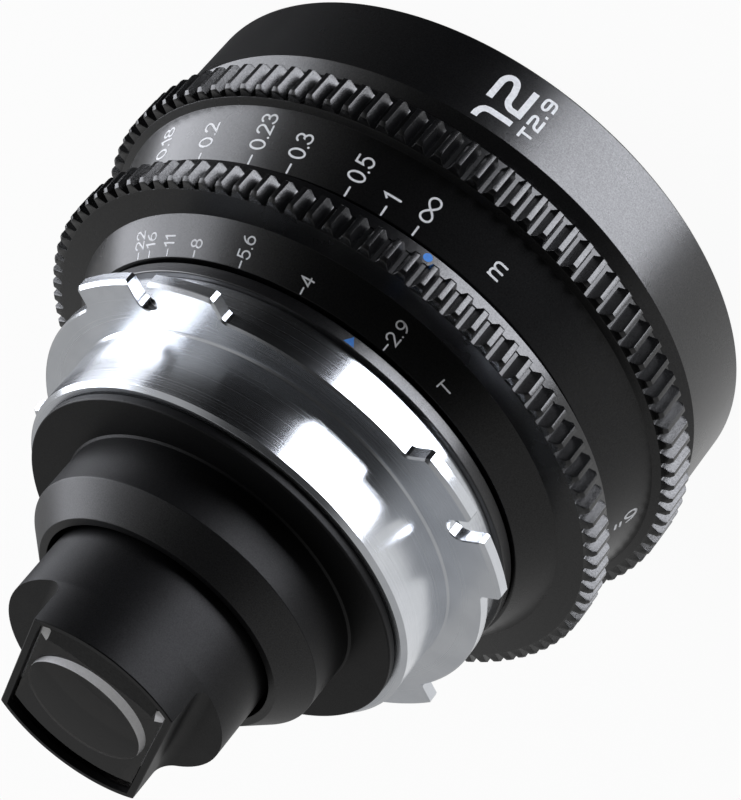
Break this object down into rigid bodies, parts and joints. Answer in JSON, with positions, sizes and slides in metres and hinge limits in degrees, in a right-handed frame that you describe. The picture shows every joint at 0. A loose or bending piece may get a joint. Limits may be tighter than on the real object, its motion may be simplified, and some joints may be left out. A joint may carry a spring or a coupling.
{
  "type": "cinema prime lens",
  "caption": "Wide-angle cinema prime lens: toothed focus and iris rings with engraved scales, four-eared camera mount, stepped black tail with a trimmed rear glass.",
  "frame": {"origin": "centre of the front rim's plane, on the optical axis, which is the middle of the bounding box's bottom", "axes": "+Z along the optical axis from the front rim to the tail, -Y towards the index marks, +X completes a right-handed frame"},
  "size_m": [0.0832, 0.0832, 0.0823],
  "materials": {
    "black_anodised": "fine satin black anodised",
    "ring_anodised": "satin black anodised with engraved scale",
    "bright_mount": "satin turned, hard plated",
    "black_paint": "matte black",
    "bronze": "machined",
    "pin_steel": "ground",
    "blade_steel": "matte blackened spring steel",
    "lens_glass": "polished and coated"
  },
  "bodies": {
    "lens_body": {"front_barrel": "black_anodised", "front_bezel": "black_paint", "front_cell": "black_paint", "element_1": "lens_glass", "element_2": "lens_glass", "element_3": "lens_glass", "cell_lock_ring": "black_paint", "main_barrel": "black_anodised", "mid_cell": "black_paint", "element_4": "lens_glass", "iris_base": "black_paint", "index_collar": "black_anodised", "mount_ring": "bright_mount", "mount_plate": "bright_mount", "rear_barrel": "black_anodised", "guide_pins": "pin_steel"},
    "focus": {"focus_ring": "ring_anodised", "focus_keys": "pin_steel", "focus_sleeve": "bronze"},
    "rear_group": {"carrier": "bronze", "tail_tube": "black_anodised", "group_lock_ring": "black_paint", "element_5": "lens_glass", "spacer_a": "black_paint", "element_6": "lens_glass", "spacer_b": "black_paint", "element_7": "lens_glass", "rear_element": "lens_glass"},
    "iris": {"iris_ring": "ring_anodised", "iris_drive_pin": "pin_steel", "iris_actuator": "pin_steel"},
    "blade_1": {"iris_blade_1": "blade_steel"},
    "blade_2": {"iris_blade_2": "blade_steel"},
    "blade_3": {"iris_blade_3": "blade_steel"},
    "blade_4": {"iris_blade_4": "blade_steel"},
    "blade_5": {"iris_blade_5": "blade_steel"},
    "blade_6": {"iris_blade_6": "blade_steel"},
    "blade_7": {"iris_blade_7": "blade_steel"}
  },
  "joints": [
    {"name": "focus_turn", "type": "hinge", "parent": "lens_body", "child": "focus", "pos_m": [0, 0, 0.02], "axis": [0, 0, 1], "range_deg": [-70, 0]},
    {"name": "focus_slide", "type": "slide", "parent": "lens_body", "child": "rear_group", "axis": [0, 0, 1], "range_m": [-0.0024, 0]},
    {"name": "iris_turn", "type": "hinge", "parent": "lens_body", "child": "iris", "pos_m": [0, 0, 0.032], "axis": [0, 0, 1], "range_deg": [-60.5, 6.5]},
    {"name": "blade_1_swing", "type": "hinge", "parent": "lens_body", "child": "blade_1", "pos_m": [0.00935, 0.01173, 0.034], "axis": [0, 0, 1], "range_deg": [-22.23, 2.57]},
    {"name": "blade_2_swing", "type": "hinge", "parent": "lens_body", "child": "blade_2", "pos_m": [-0.00334, 0.01462, 0.034], "axis": [0, 0, 1], "range_deg": [-22.23, 2.57]},
    {"name": "blade_3_swing", "type": "hinge", "parent": "lens_body", "child": "blade_3", "pos_m": [-0.01351, 0.00651, 0.034], "axis": [0, 0, 1], "range_deg": [-22.23, 2.57]},
    {"name": "blade_4_swing", "type": "hinge", "parent": "lens_body", "child": "blade_4", "pos_m": [-0.01351, -0.00651, 0.034], "axis": [0, 0, 1], "range_deg": [-22.23, 2.57]},
    {"name": "blade_5_swing", "type": "hinge", "parent": "lens_body", "child": "blade_5", "pos_m": [-0.00334, -0.01462, 0.034], "axis": [0, 0, 1], "range_deg": [-22.23, 2.57]},
    {"name": "blade_6_swing", "type": "hinge", "parent": "lens_body", "child": "blade_6", "pos_m": [0.00935, -0.01173, 0.034], "axis": [0, 0, 1], "range_deg": [-22.23, 2.57]},
    {"name": "blade_7_swing", "type": "hinge", "parent": "lens_body", "child": "blade_7", "pos_m": [0.015, 0, 0.034], "axis": [0, 0, 1], "range_deg": [-22.23, 2.57]}
  ],
  "couplings": [
    {"joint": "focus_slide", "follows": "focus_turn", "m_per_rad": 0.0019644},
    {"joint": "blade_1_swing", "follows": "iris_turn", "ratio": 0.36418},
    {"joint": "blade_2_swing", "follows": "iris_turn", "ratio": 0.36418},
    {"joint": "blade_3_swing", "follows": "iris_turn", "ratio": 0.36418},
    {"joint": "blade_4_swing", "follows": "iris_turn", "ratio": 0.36418},
    {"joint": "blade_5_swing", "follows": "iris_turn", "ratio": 0.36418},
    {"joint": "blade_6_swing", "follows": "iris_turn", "ratio": 0.36418},
    {"joint": "blade_7_swing", "follows": "iris_turn", "ratio": 0.36418}
  ]
}
